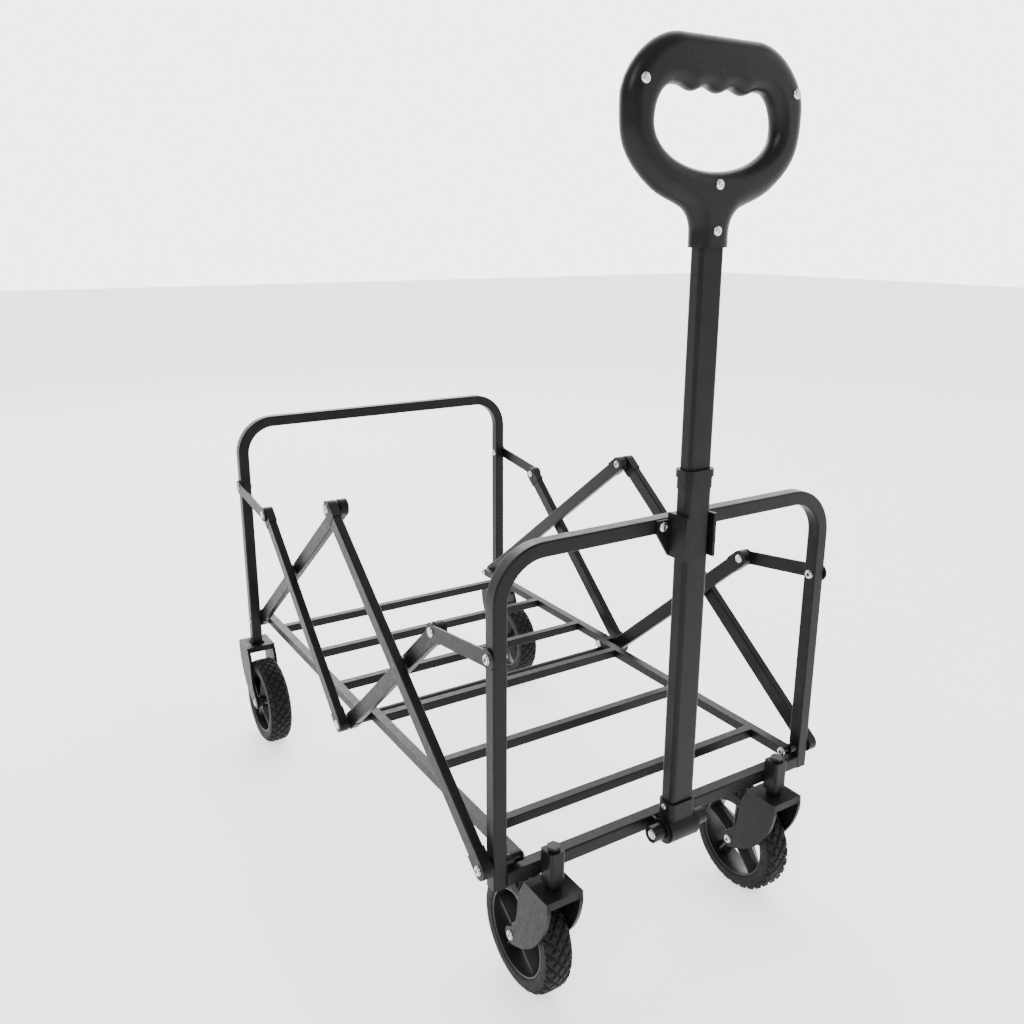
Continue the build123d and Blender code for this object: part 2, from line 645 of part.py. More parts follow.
# ------------------------------------------------------------------ floor
def floor_rail(x, y0, y1, round0, round1):
    """Square rail along Y from y0 to y1; a rounded end turns about its pivot."""
    bar = box(x - RAIL / 2, x + RAIL / 2, y0, y1, -RAIL / 2, RAIL / 2)
    bore = RAIL / 2 - RAIL_WALL
    if round0:
        bar += rod_x(x - RAIL / 2, x + RAIL / 2, y0, 0, RAIL / 2)
    if round1:
        bar += rod_x(x - RAIL / 2, x + RAIL / 2, y1, 0, RAIL / 2)
    return bar - box(x - bore, x + bore, y0 - RAIL, y1 + RAIL, -bore, bore)


def floor_bars(places, half):
    """Square bars across the wagon between the rails."""
    bars = []
    for y in places:
        section = Plane.YZ.offset(-half) * (Pos(y, 0) * square_ring(RAIL, RAIL_WALL, 1.0))
        bars.append(extrude(section, 2 * half))
    return bars


def make_floor():
    """Two floor panels that meet and hinge under the middle of the wagon."""
    front_foot = flip(REAR_FOOT)
    middle = (0.0, 0.0)

    def rear_rail(side):
        bar = floor_rail(side * REAR_RAIL_X, 0, REAR_Y, True, True)
        return bar - pin_hole(side * FRONT_RAIL_IN, side * INNER_OUT, REAR_FOOT, PIN_R, RUN)

    def front_rail(side):
        bar = floor_rail(side * FRONT_RAIL_X, FRONT_Y, FRONT_RAIL_OVERRUN, True, False)
        return bar - pin_hole(side * (FRONT_RAIL_IN - 1), side * FRONT_POST_OUT, front_foot, PIN_R, RUN)

    def hinge_rivet(side):
        return head_x(side * FRONT_RAIL_IN, -side, *middle)

    save("floor_rear_rails", both_sides(rear_rail))
    save("floor_rear_bars", floor_bars(REAR_BARS, REAR_RAIL_IN))
    save("floor_front_rails", both_sides(front_rail))
    save("floor_front_bars", floor_bars([-y for y in FRONT_BARS], FRONT_RAIL_IN))
    save("floor_hinge_rivets", both_sides(hinge_rivet))


# ------------------------------------------------------------------ pull handle
def rounded_bar(size, corner, z0, z1, y=HANDLE_Y, x=0.0):
    """Upright bar of rounded rectangular section."""
    return Pos(x, y, z0) * extrude(RectangleRounded(size[0], size[1], corner), z1 - z0)


def grown(size, by):
    """Section size with by added on each side."""
    return (size[0] + 2 * by, size[1] + 2 * by)


def make_handle_bracket():
    """Ears on the cross tube that carry the handle's pivot bolt."""
    ears = []
    for side in (-1, 1):
        near = side * (BARREL_HALF + GAP)
        far = side * (BARREL_HALF + GAP + EAR_THICK)
        plate = rod_x(near, far, PIVOT_Y, -PIVOT_DROP, EAR_R)
        low, high = min(near, far), max(near, far)
        plate += box(low, high, PIVOT_Y, FRONT_FACE, -PIVOT_DROP - EAR_R * 0.6, -CROSS_TUBE_DROP + TUBE / 2)
        plate -= box(low - 1, high + 1, FRONT_FACE, FRONT_FACE + EAR_R, -PIVOT_DROP - 2 * EAR_R, EAR_R)
        plate += rod_x(far, side * BOSS_OUT, PIVOT_Y, -PIVOT_DROP, BOSS_R)
        plate -= rod_x(side * (BOSS_OUT - 4), side * (BOSS_OUT + 1), PIVOT_Y, -PIVOT_DROP, BOSS_R - 2)
        plate -= rod_x(0, side * BOSS_OUT, PIVOT_Y, -PIVOT_DROP, BOLT_R + FIXED)
        ears.append(plate)
    save("handle_bracket", ears)
    bolt = rod_x(-BOSS_OUT + 4, BOSS_OUT - 4, PIVOT_Y, -PIVOT_DROP, BOLT_R)
    for side in (-1, 1):
        bolt += head_x(side * (BOSS_OUT - 4), side, PIVOT_Y, -PIVOT_DROP, BOSS_R - 2.6, 3.6)
    save("handle_pivot_bolt", bolt)


def make_handle_clip():
    """Cradle riveted on the front top tube; its open arms hold the handle tube sideways."""
    inner = LOWER_TUBE[0] / 2 + GAP
    front = HANDLE_Y - LOWER_TUBE[1] / 2 - CLIP_REACH
    back = FRONT_FACE - CLIP_PLATE
    half = CLIP_RIVET_X + HEAD_R + CLIP_MARGIN
    tall = TUBE / 2 - TUBE_CORNER / 2
    outline = Polyline(
        (-half, TOP_RISE + tall), (half, TOP_RISE + tall), (half, TOP_RISE - tall),
        (inner + CLIP_ARM, TOP_RISE - CLIP_DROP), (-inner - CLIP_ARM, TOP_RISE - CLIP_DROP),
        (-half, TOP_RISE - tall),
        close=True,
    )
    body = extrude(Plane.XZ.offset(-FRONT_FACE) * make_face(outline), CLIP_PLATE)
    for side in (-1, 1):
        near, far = side * inner, side * (inner + CLIP_ARM)
        low, high = min(near, far), max(near, far)
        arm = box(low, high, front, FRONT_FACE - FIXED / 2, TOP_RISE - CLIP_DROP, TOP_RISE + CLIP_RISE)
        body += arm
        body -= Pos(side * CLIP_RIVET_X, back, TOP_RISE) * (Rot(90, 0, 0) * Cylinder(PIN_R + FIXED, 20))
    save("handle_clip", body)

    rivets = []
    for side in (-1, 1):
        shank = Pos(side * CLIP_RIVET_X, (back + FRONT_FACE + TUBE_WALL) / 2, TOP_RISE) * (
            Rot(90, 0, 0) * Cylinder(PIN_R, CLIP_PLATE + TUBE_WALL))
        head = fillet(Cylinder(HEAD_R, HEAD_HEIGHT).edges().sort_by(Axis.Z)[-1], HEAD_HEIGHT * HEAD_ROUND)
        head = Pos(side * CLIP_RIVET_X, back - HEAD_HEIGHT / 2, TOP_RISE) * (Rot(90, 0, 0) * head)
        rivets.append(shank + head)
    save("clip_rivets", rivets)


def make_lower_handle():
    """Lower handle tube with its hinge boot and the collar at its top."""
    tube = rounded_bar(LOWER_TUBE, LOWER_CORNER, LOWER_TUBE_BOTTOM, LOWER_TUBE_TOP)
    bore = grown(LOWER_TUBE, -HANDLE_WALL)
    tube -= rounded_bar(bore, LOWER_CORNER - HANDLE_WALL, LOWER_TUBE_BOTTOM - 1, LOWER_TUBE_TOP + 1)
    screw_z = (BOOT_TOP + LOWER_TUBE_BOTTOM) / 2
    tube -= rod_x(-LOWER_TUBE[0], 0, HANDLE_Y, screw_z, PIN_R / 2 + FIXED)
    save("handle_lower_tube", tube)

    shell = grown(LOWER_TUBE, BOOT_WALL)
    boot = rounded_bar(shell, LOWER_CORNER + BOOT_WALL, -PIVOT_DROP, BOOT_TOP)
    boot += rod_x(-BARREL_HALF, BARREL_HALF, PIVOT_Y, -PIVOT_DROP, BARREL_R)
    boot -= rounded_bar(grown(LOWER_TUBE, FIXED), LOWER_CORNER, LOWER_TUBE_BOTTOM, BOOT_TOP + 1)
    boot -= rod_x(-BARREL_HALF - 1, BARREL_HALF + 1, PIVOT_Y, -PIVOT_DROP, BOLT_R + RUN)
    boot -= rod_x(-shell[0], 0, HANDLE_Y, screw_z, PIN_R / 2 + FIXED)
    save("handle_boot", boot)
    screw = rod_x(-shell[0] / 2, -LOWER_TUBE[0] / 2 + HANDLE_WALL, HANDLE_Y, screw_z, PIN_R / 2)
    screw += head_x(-shell[0] / 2, -1, HANDLE_Y, screw_z, 3.2, 1.6)
    save("boot_screw", screw)

    flange_bottom = COLLAR_TOP - COLLAR_HEIGHT
    sleeve_bottom = flange_bottom - COLLAR_SLEEVE
    flange = grown(LOWER_TUBE, COLLAR_FLANGE)
    sleeve = grown(LOWER_TUBE, COLLAR_WALL)
    collar = rounded_bar(flange, LOWER_CORNER + COLLAR_FLANGE, flange_bottom, COLLAR_TOP)
    collar += rounded_bar(sleeve, LOWER_CORNER + COLLAR_WALL, sleeve_bottom, COLLAR_TOP)
    collar -= rounded_bar(grown(LOWER_TUBE, FIXED), LOWER_CORNER, sleeve_bottom - 1, LOWER_TUBE_TOP)
    collar -= rounded_bar(grown(UPPER_TUBE, RUN), UPPER_CORNER, LOWER_TUBE_TOP - 1, COLLAR_TOP + 1)
    save("handle_collar", collar)


def grip_face():
    """Outline of the D grip in (x, z), from its neck's lower edge up."""
    widest = (GRIP_HALF_WIDTH, GRIP_TOP - GRIP_WIDEST_DROP)
    neck = (NECK_HALF_WIDTH, GRIP_BOTTOM + NECK_HEIGHT)
    centre = (NECK_HALF_WIDTH + NECK_BEND_R, neck[1])
    half_turn, turn = radians(NECK_BEND / 2), radians(NECK_BEND)
    middle = (centre[0] - NECK_BEND_R * cos(half_turn), centre[1] + NECK_BEND_R * sin(half_turn))
    shoulder = (centre[0] - NECK_BEND_R * cos(turn), centre[1] + NECK_BEND_R * sin(turn))
    right = [
        Line((NECK_HALF_WIDTH, GRIP_BOTTOM), neck),
        ThreePointArc(neck, middle, shoulder),
        Spline(shoulder, (GRIP_HALF_WIDTH - 35, GRIP_BOTTOM + 53), (GRIP_HALF_WIDTH - 6, GRIP_BOTTOM + 84),
               widest, tangents=[(sin(turn), cos(turn)), (0, 1)]),
        Spline(widest, (GRIP_HALF_WIDTH - 14.5, GRIP_TOP - 22.5), (GRIP_TOP_FLAT, GRIP_TOP),
               tangents=[(0, 1), (-1, 0)]),
    ]
    edges = right + [edge.mirror(Plane.YZ) for edge in right]
    edges.append(Line((-GRIP_TOP_FLAT, GRIP_TOP), (GRIP_TOP_FLAT, GRIP_TOP)))
    edges.append(Line((-NECK_HALF_WIDTH, GRIP_BOTTOM), (NECK_HALF_WIDTH, GRIP_BOTTOM)))
    return make_face(edges)


def hand_hole():
    """Outline of the hand hole in (x, z): half an ellipse below, flat above, with rounded corners."""
    side_z = HOLE_BOTTOM + HOLE_WIDEST * (HOLE_TOP - HOLE_BOTTOM)
    corner = HOLE_HALF_WIDTH - HOLE_CORNER
    rise = HOLE_TOP - side_z
    return make_face([
        EllipticalCenterArc((0, side_z), HOLE_HALF_WIDTH, side_z - HOLE_BOTTOM, 180, arc_size=180),
        EllipticalCenterArc((corner, side_z), HOLE_CORNER, rise, 0, arc_size=90),
        Line((corner, HOLE_TOP), (-corner, HOLE_TOP)),
        EllipticalCenterArc((-corner, side_z), HOLE_CORNER, rise, 90, arc_size=90),
    ])


def make_upper_handle():
    """Upper tube with the plug that slides in the lower one, and the two-part D grip with its screws."""
    tube_top = GRIP_BOTTOM + GRIP_SOCKET
    tube = rounded_bar(UPPER_TUBE, UPPER_CORNER, UPPER_TUBE_BOTTOM, tube_top)
    bore = grown(UPPER_TUBE, -HANDLE_WALL)
    tube -= rounded_bar(bore, UPPER_CORNER - HANDLE_WALL, UPPER_TUBE_BOTTOM - 1, tube_top + 1)
    screw_x, screw_z = SCREW_PLACES[-1]
    near, far = HANDLE_Y - UPPER_TUBE[1], HANDLE_Y + UPPER_TUBE[1]
    tube -= rod_y(screw_x, near, far, screw_z, SCREW_SHANK + FIXED)
    save("handle_upper_tube", tube)

    flange = grown(LOWER_TUBE, -HANDLE_WALL - RUN)
    flange_bottom = UPPER_TUBE_BOTTOM - PLUG_FLANGE
    plug = rounded_bar(flange, LOWER_CORNER - HANDLE_WALL, flange_bottom, UPPER_TUBE_BOTTOM)
    tongue = grown(bore, -FIXED)
    tongue_top = UPPER_TUBE_BOTTOM + PLUG_TONGUE
    plug += rounded_bar(tongue, UPPER_CORNER - HANDLE_WALL, UPPER_TUBE_BOTTOM - 1, tongue_top)
    save("handle_slide_plug", plug)

    parting = Plane(origin=(0, HANDLE_Y, 0), x_dir=(1, 0, 0), z_dir=(0, -1, 0))
    socket = rounded_bar(grown(UPPER_TUBE, FIXED), UPPER_CORNER, GRIP_BOTTOM - 1, tube_top)
    for name, direction in (("handle_grip_front", -1), ("handle_grip_back", 1)):
        face_y = HANDLE_Y + direction * GRIP_HALF_THICK
        half = extrude(parting * grip_face(), -direction * GRIP_HALF_THICK)
        half = fillet(edges_on(half, face_y, GRIP_BOTTOM + 0.5), GRIP_EDGE)
        half -= extrude(parting * hand_hole(), -direction * (GRIP_HALF_THICK + 1))
        ring = [e for e in edges_on(half, face_y, HOLE_BOTTOM - 1)
                if e.center().Z < HOLE_TOP + 1 and abs(e.center().X) < HOLE_HALF_WIDTH]
        half = fillet(ring, HOLE_EDGE)
        for number in (-1, 0, 1):
            lobe_y = sorted((HANDLE_Y, HANDLE_Y + direction * (GRIP_HALF_THICK - LOBE_INSET)))
            half += rod_y(number * FINGER_PITCH, *lobe_y, HOLE_TOP + LOBE_R - FINGER_DEPTH, LOBE_R)
        half -= socket
        for x, z in SCREW_PLACES:
            depth = sorted((HANDLE_Y, HANDLE_Y + direction * (GRIP_HALF_THICK + 1)))
            if direction > 0:
                depth[1] = HANDLE_Y + SCREW_GRIP
            half -= rod_y(x, *depth, z, SCREW_SHANK + FIXED)
        save(name, half)

    front = HANDLE_Y - GRIP_HALF_THICK
    screws = []
    for x, z in SCREW_PLACES:
        screw = rod_y(x, front, HANDLE_Y + SCREW_GRIP, z, SCREW_SHANK)
        disc = fillet(Cylinder(SCREW_R, SCREW_HEAD).edges().sort_by(Axis.Z)[-1], SCREW_HEAD * SCREW_ROUND)
        screw += Pos(x, front - SCREW_HEAD / 2, z) * (Rot(90, 0, 0) * disc)
        screws.append(screw)
    save("grip_screws", screws)


for step in (make_rear_frame, make_front_frame, make_caster_mounts, make_forks, make_wheels, make_scissors,
             make_straps, make_floor, make_handle_bracket, make_handle_clip, make_lower_handle,
             make_upper_handle):
    step()
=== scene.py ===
import json
import math

import bmesh
import bpy
import numpy as np
from mathutils import Matrix, Vector


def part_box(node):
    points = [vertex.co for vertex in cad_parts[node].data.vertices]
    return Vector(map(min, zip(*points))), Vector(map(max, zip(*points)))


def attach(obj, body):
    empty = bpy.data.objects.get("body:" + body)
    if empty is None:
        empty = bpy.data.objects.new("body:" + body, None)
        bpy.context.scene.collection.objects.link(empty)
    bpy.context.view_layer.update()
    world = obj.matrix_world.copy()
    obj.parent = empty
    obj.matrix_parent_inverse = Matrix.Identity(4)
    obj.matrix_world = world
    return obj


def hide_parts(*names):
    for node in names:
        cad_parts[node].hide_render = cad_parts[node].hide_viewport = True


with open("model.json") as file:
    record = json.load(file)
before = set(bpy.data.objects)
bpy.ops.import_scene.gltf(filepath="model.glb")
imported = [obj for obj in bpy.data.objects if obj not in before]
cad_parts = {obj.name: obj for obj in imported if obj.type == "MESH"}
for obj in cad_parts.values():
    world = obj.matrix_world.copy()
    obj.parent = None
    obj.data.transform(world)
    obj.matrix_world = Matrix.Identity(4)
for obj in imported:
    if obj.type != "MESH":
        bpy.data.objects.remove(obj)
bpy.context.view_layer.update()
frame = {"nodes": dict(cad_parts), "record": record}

MM = 0.001
NODES = frame["nodes"]
BODY_OF = {node: body for body, nodes in frame["record"]["behaviour"]["bodies"].items() for node in nodes}


# ---------------------------------------------------------------- materials
def material(name):
    """A new material, its node tree and its shader."""
    made = bpy.data.materials.new(name)
    made.use_nodes = True
    tree = made.node_tree
    shader = tree.nodes["Principled BSDF"]
    return made, tree, shader


def add(tree, kind, **inputs):
    """A node of that kind, with its named inputs set; an underscore stands for a space."""
    node = tree.nodes.new(kind)
    for key, value in inputs.items():
        node.inputs[key.replace("_", " ")].default_value = value
    return node


def noise(tree, scale, detail):
    """Noise over the object's own metres."""
    coords = tree.nodes.new("ShaderNodeTexCoord")
    texture = add(tree, "ShaderNodeTexNoise", Scale=scale, Detail=detail)
    tree.links.new(coords.outputs["Object"], texture.inputs["Vector"])
    return texture.outputs["Fac"]


NOISE_LOW, NOISE_HIGH = 0.3, 0.7    # nearly all noise values lie between these


def spread(tree, value, low, high):
    """A noise value, spread over low..high."""
    node = add(tree, "ShaderNodeMapRange", From_Min=NOISE_LOW, From_Max=NOISE_HIGH, To_Min=low, To_Max=high)
    tree.links.new(value, node.inputs["Value"])
    return node.outputs["Result"]


def two_tone(tree, value, dark, light):
    """A colour between two, by a value."""
    mix = tree.nodes.new("ShaderNodeMix")
    mix.data_type = "RGBA"
    mix.inputs["A"].default_value = (*dark, 1.0)
    mix.inputs["B"].default_value = (*light, 1.0)
    tree.links.new(value, mix.inputs["Factor"])
    return mix.outputs["Result"]


def bump(tree, shader, heights):
    """Bumps on the shader from (value, strength, depth) layers, finest last."""
    normal = None
    for value, strength, depth in heights:
        node = add(tree, "ShaderNodeBump", Strength=strength, Distance=depth)
        tree.links.new(value, node.inputs["Height"])
        if normal is not None:
            tree.links.new(normal, node.inputs["Normal"])
        normal = node.outputs["Normal"]
    tree.links.new(normal, shader.inputs["Normal"])


CLOUD_SCALE, GLOSS_SCALE = 38.0, 140.0    # noise scales, per metre, of the colour and of the gloss
PEEL_DEPTH, GRAIN_DEPTH, PIT_DEPTH = 0.4 * MM, 0.2 * MM, 0.6 * MM
BLACK_PLASTIC = ((0.0042, 0.0040, 0.0039), (0.0070, 0.0067, 0.0065))


def clouded(tree, dark, light):
    """A colour that drifts between two tones over the piece."""
    return two_tone(tree, spread(tree, noise(tree, CLOUD_SCALE, 4.0), 0.0, 1.0), dark, light)


def dark_finish(name, dark, light, rough, peel, grain, specular):
    """A dark coated or moulded finish: clouded colour, uneven gloss, slow peel and fine grain.

    rough is the lowest and highest roughness; peel and grain are each (noise scale, strength).
    """
    made, tree, shader = material(name)
    tree.links.new(clouded(tree, dark, light), shader.inputs["Base Color"])
    tree.links.new(spread(tree, noise(tree, GLOSS_SCALE, 3.0), *rough), shader.inputs["Roughness"])
    shader.inputs["Specular IOR Level"].default_value = specular
    bump(tree, shader, [(noise(tree, peel[0], 1.0), peel[1], PEEL_DEPTH),
                        (noise(tree, grain[0], 2.0), grain[1], GRAIN_DEPTH)])
    return made


def powder_coat():
    """Black powder coat of the tubes, with a slight orange peel."""
    return dark_finish("powder_coat", (0.0040, 0.0040, 0.0043), (0.0066, 0.0066, 0.0070), (0.32, 0.44),
                       (420.0, 0.12), (1900.0, 0.14), 0.13)


def moulded_plastic():
    """Black moulded plastic of the forks, caps, boot and clip, finely grained."""
    return dark_finish("moulded_plastic", *BLACK_PLASTIC, (0.36, 0.50), (160.0, 0.05), (2600.0, 0.24), 0.13)


def rim_plastic():
    """Smoother and slightly lighter plastic of the wheel rims."""
    return dark_finish("rim_plastic", (0.0060, 0.0060, 0.0060), (0.0095, 0.0095, 0.0095), (0.30, 0.42),
                       (160.0, 0.05), (2300.0, 0.16), 0.26)


def tyre_rubber():
    """Dull black rubber."""
    return dark_finish("tyre_rubber", (0.0085, 0.0085, 0.0083), (0.0125, 0.0125, 0.0122), (0.56, 0.72),
                       (300.0, 0.10), (2400.0, 0.30), 0.12)


def zinc_plate():
    """Bright zinc of the rivets, screws and heads."""
    made, tree, shader = material("zinc_plate")
    shader.inputs["Metallic"].default_value = 1.0
    tree.links.new(two_tone(tree, spread(tree, noise(tree, 600.0, 3.0), 0.0, 1.0),
                            (0.42, 0.42, 0.41), (0.70, 0.70, 0.68)), shader.inputs["Base Color"])
    tree.links.new(spread(tree, noise(tree, 900.0, 2.0), 0.24, 0.40), shader.inputs["Roughness"])
    bump(tree, shader, [(noise(tree, 1500.0, 2.0), 0.18, GRAIN_DEPTH)])
    return made


def blackened_steel():
    """Darker and glossier steel of the pins, axles, kingpins and handle bracket."""
    return dark_finish("blackened_steel", (0.0035, 0.0035, 0.0038), (0.0060, 0.0060, 0.0064), (0.26, 0.38),
                       (500.0, 0.12), (1800.0, 0.10), 0.17)


FINISH = {
    "powder": powder_coat(), "plastic": moulded_plastic(), "rim": rim_plastic(), "rubber": tyre_rubber(),
    "zinc": zinc_plate(), "black_steel": blackened_steel(),
}
PLASTIC = ("caster_fork_left", "caster_fork_right", "rear_forks", "handle_boot", "handle_collar",
           "handle_slide_plug", "handle_clip", "long_brace_rear_caps", "long_brace_front_caps",
           "short_brace_rear_caps", "short_brace_front_caps", "handle_grip_front", "handle_grip_back")
BLACK_STEEL = ("caster_kingpins", "rear_crossing_pins", "front_crossing_pins", "handle_bracket",
               "rear_foot_pins", "rear_strap_pins", "rear_axle_pins", "peak_pins", "front_foot_pins",
               "front_strap_pins", "caster_axle_left", "caster_axle_right")
ZINC = ("cross_rod_rivets", "tie_strap_rear_rivets", "tie_strap_front_rivets", "short_brace_rear_rivets",
        "short_brace_front_rivets", "floor_hinge_rivets", "clip_rivets", "handle_pivot_bolt", "boot_screw",
        "grip_screws")


def paint(shown, finish):
    """One finish all over an object."""
    shown.data.materials.clear()
    shown.data.materials.append(FINISH[finish])


def finish_of(node):
    """Key of a CAD node's finish; a tube or sheet that is in no list is powder coated."""
    if node in PLASTIC:
        return "plastic"
    if node in BLACK_STEEL:
        return "black_steel"
    if node in ZINC:
        return "zinc"
    if "tyre" in node:
        return "rubber"
    if "rim" in node:
        return "rim"
    return "powder"


for node_name, node_object in NODES.items():
    paint(node_object, finish_of(node_name))


# ---------------------------------------------------------------- mesh helpers
def piece(name, body, finish, vertices, faces, smooth):
    """A mesh piece that rides on a body. Edges sharper than smooth degrees stay sharp."""
    mesh = bpy.data.meshes.new(name)
    mesh.from_pydata([tuple(v) for v in vertices], [], faces)
    mesh.validate()
    built = bmesh.new()
    built.from_mesh(mesh)
    bmesh.ops.recalc_face_normals(built, faces=built.faces)
    built.to_mesh(mesh)
    built.free()
    made = bpy.data.objects.new(name, mesh)
    bpy.context.scene.collection.objects.link(made)
    mesh.shade_smooth()
    mesh.set_sharp_from_angle(angle=math.radians(smooth))
    made.data.materials.append(FINISH[finish])
    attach(made, body)
    return made


def ring_faces(rows, columns, wrap_rows=True, wrap_columns=True):
    """Quads of a grid whose rows and columns may close on themselves."""
    faces = []
    for i in range(rows if wrap_rows else rows - 1):
        for j in range(columns if wrap_columns else columns - 1):
            here, after = i * columns, (i + 1) % rows * columns
            beside = (j + 1) % columns
            faces.append((here + j, here + beside, after + beside, after + j))
    return faces


def middle_of(node):
    """Centre of a CAD node's box."""
    low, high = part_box(node)
    return (Vector(low) + Vector(high)) / 2


def soften(made, width):
    """Small rounded edges wherever faces meet at more than a slight angle."""
    edge = made.modifiers.new("edges", "BEVEL")
    edge.width = width
    edge.segments = 2
    edge.limit_method = "ANGLE"
    edge.angle_limit = math.radians(35)
    edge.harden_normals = True


# ---------------------------------------------------------------- tyres
TREAD_CELLS = 28
TREAD_STEPS = 18
CELL_WIDTH = 12.6 * MM
GROOVE_DEPTH = 2.2 * MM
GROOVE_WIDTH = 0.10       # half of the groove's floor, as a share of a cell
GROOVE_SLOPE = 0.035      # run of each wall, as a share of a cell
CROWN_STEPS = 25          # steps across the tread
CROWN = 0.25 * MM         # drop of the tread from its middle to its edges
RIM_PLAY = 0.05 * MM      # between the tyre's inside and the rim


def tread_depth(turn, x):
    """Depth of the crossing diagonal grooves at a turn (in cells) and a place across the tyre."""
    across = x / CELL_WIDTH
    depth = 0.0
    for line in (turn + across, turn - across):
        off = abs(line - round(line))
        edge = min(max((GROOVE_WIDTH + GROOVE_SLOPE - off) / GROOVE_SLOPE, 0.0), 1.0)
        depth = max(depth, edge * edge * (3 - 2 * edge))
    return depth * GROOVE_DEPTH


def tyre_profile(half, inner, outer):
    """Section of the tyre as (x, radius, share of the groove depth), from one bead over the tread."""
    bead = [(-half + 1.6 * MM, inner, 0), (-half + 0.4 * MM, inner + 0.8 * MM, 0),
            (-half, inner + 2.4 * MM, 0)]
    wall = [(-half, inner + share * (outer - inner), 0) for share in (0.35, 0.55)]
    shoulder = [(-half, outer - 6.4 * MM, 0), (-half + 0.5 * MM, outer - 5.4 * MM, 0.5),
                (-half + 1.3 * MM, outer - 4.2 * MM, 1), (-half + 2.4 * MM, outer - 2.8 * MM, 1),
                (-half + 3.9 * MM, outer - 1.5 * MM, 1), (-half + 5.6 * MM, outer - 0.6 * MM, 1)]
    side = bead + wall + shoulder
    flat = half - 7.4 * MM
    across = [2 * k / CROWN_STEPS - 1 for k in range(CROWN_STEPS + 1)]
    tread = [(flat * share, outer - CROWN * share ** 2, 1) for share in across]
    return side + tread + [(-x, r, share) for x, r, share in reversed(side)]


def make_tyre(end, side):
    """Tyre with real grooves, in place of a plain CAD one of the same size."""
    node = end + "_tyre_" + side
    low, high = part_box(node)
    centre = middle_of(node)
    half = (high[0] - low[0]) / 2
    outer = max((high[2] - low[2]) / 2, centre.z)
    rim_low, rim_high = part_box(end + "_rim_" + side)
    inner = (rim_high[2] - rim_low[2]) / 2 + RIM_PLAY
    profile = tyre_profile(half, inner, outer)
    rows = TREAD_CELLS * TREAD_STEPS
    vertices = []
    for i in range(rows):
        turn = i / TREAD_STEPS
        angle = 2 * math.pi * i / rows
        for x, r, share in profile:
            depth = share * tread_depth(turn, x) if share else 0.0
            vertices.append((centre.x + x, centre.y + (r - depth) * math.cos(angle),
                             centre.z + (r - depth) * math.sin(angle)))
    made = piece("tyre_" + end + "_" + side, BODY_OF[node], "rubber", vertices,
                 ring_faces(rows, len(profile)), smooth=50.0)
    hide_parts(node)


# ---------------------------------------------------------------- rims
SPOKES = 5
RIM_STEPS, HUB_STEPS = 96, 64     # sides of the turned shapes
HUB_R, BORE_R = 11.0 * MM, 4.05 * MM
RIDGE_FLAT = 0.14         # flat top of a spoke's ridge, as a share of its width
SPOKE_SIDES = 8
LIP_INSET = 2.2 * MM      # barrel's edge inside the hub's end
RIM_EDGE = 0.5 * MM       # width of the rounded edges


def lathe(vertices, faces, centre, profile, steps):
    """Adds a closed section (x, radius) turned about the X axis through the centre."""
    start = len(vertices)
    for i in range(steps):
        angle = 2 * math.pi * i / steps
        for x, r in profile:
            vertices.append((centre.x + x, centre.y + r * math.cos(angle), centre.z + r * math.sin(angle)))
    faces += [tuple(start + k for k in face) for face in ring_faces(steps, len(profile))]


def spoke_solid(vertices, faces, centre, angle, near, far):
    """Adds a spoke with a ridge on both faces; near and far are (radius, half width, ridge, flank)."""
    start = len(vertices)
    along = Vector((0, math.cos(angle), math.sin(angle)))
    across = Vector((0, -math.sin(angle), math.cos(angle)))
    for radius, width, height, flank in (near, far):
        ridge = RIDGE_FLAT * width
        section = [(height, ridge), (flank, width), (-flank, width), (-height, ridge),
                   (-height, -ridge), (-flank, -width), (flank, -width), (height, -ridge)]
        for x, w in section:
            vertices.append(centre + Vector((x, 0, 0)) + along * radius + across * w)
    outer_start = start + SPOKE_SIDES
    for k in range(SPOKE_SIDES):
        after = (k + 1) % SPOKE_SIDES
        faces.append((start + k, start + after, outer_start + after, outer_start + k))
    faces.append(tuple(start + k for k in range(SPOKE_SIDES)))
    faces.append(tuple(outer_start + k for k in range(SPOKE_SIDES)))


